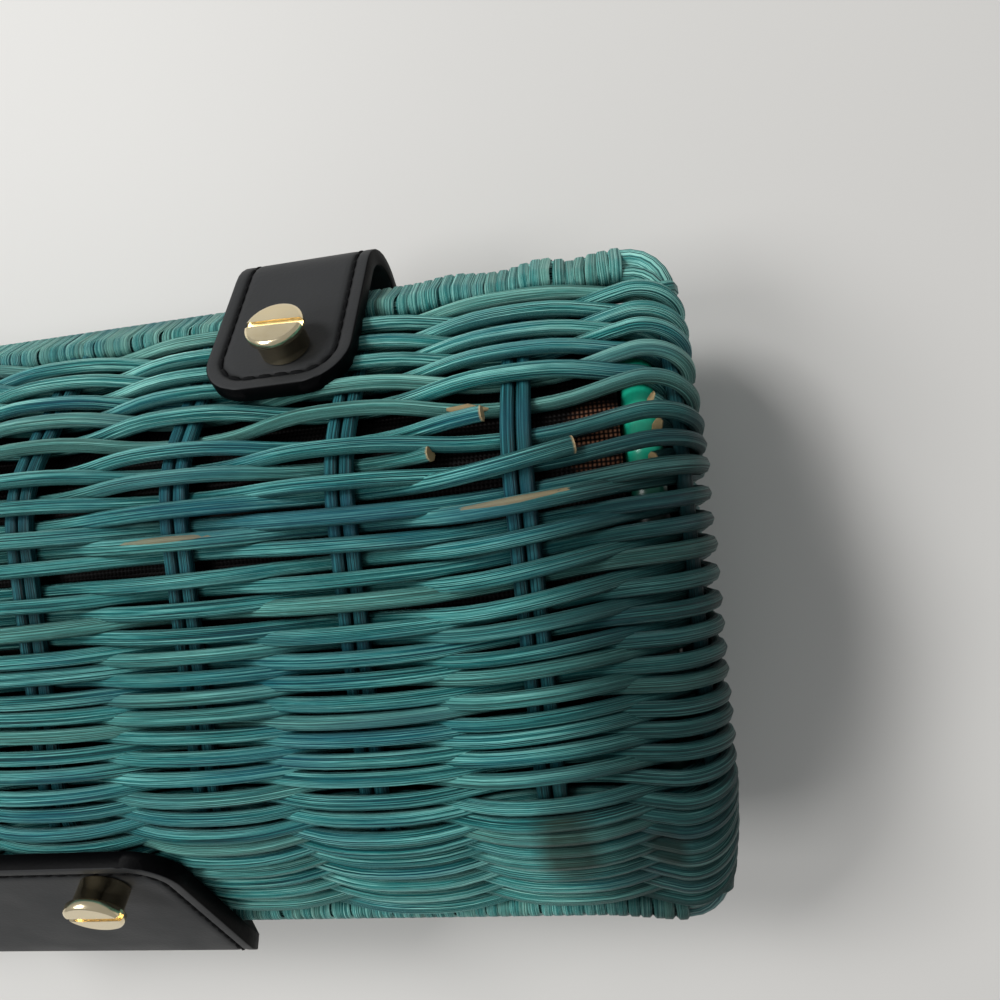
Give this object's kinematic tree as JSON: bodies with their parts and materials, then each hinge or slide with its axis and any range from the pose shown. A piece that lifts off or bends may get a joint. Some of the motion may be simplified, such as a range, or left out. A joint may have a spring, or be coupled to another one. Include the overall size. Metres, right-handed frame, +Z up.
{
  "type": "basket box bag",
  "caption": "Clutch bag of two domed woven reed shells that meet at wrapped rims, with leather hinge straps, a leather closure flap and slotted gilt studs",
  "frame": {"origin": "middle of the bag's outline on the surface it lies on", "axes": "+X along the bag's length, +Y towards the hinge edge, +Z up out of the front shell; the bag lies on its back shell"},
  "size_m": [0.282, 0.137, 0.0732],
  "materials": {
    "dyed_reed": "satin",
    "wrapped_reed": "satin",
    "lining_cloth": "woven",
    "frame_tube": "gloss",
    "gilt": "polished",
    "black_leather": "semi-gloss",
    "catch_steel": "brushed"
  },
  "bodies": {
    "back_shell": {"back_weave": "dyed_reed", "back_rim": "wrapped_reed", "back_lining": "lining_cloth", "back_frame_tube_left": "frame_tube", "back_frame_tube_right": "frame_tube", "back_hinge_studs": "gilt", "back_hinge_nuts": "gilt", "hinge_strap_left": "black_leather", "hinge_strap_right": "black_leather", "rim_keeper": "catch_steel"},
    "front_shell": {"front_weave": "dyed_reed", "front_rim": "wrapped_reed", "front_lining": "lining_cloth", "front_frame_tube_left": "frame_tube", "front_frame_tube_right": "frame_tube", "front_hinge_studs": "gilt", "front_hinge_nuts": "gilt", "closure_flap": "black_leather", "closure_studs": "gilt", "closure_nuts": "gilt", "flap_magnet": "catch_steel"}
  },
  "joints": [
    {"name": "front_shell_hinge", "type": "hinge", "parent": "back_shell", "child": "front_shell", "pos_m": [0, 0.0586, 0.03475], "axis": [-1, 0, 0], "range_deg": [0, 100], "deforming": ["hinge_strap_left", "hinge_strap_right"]}
  ]
}
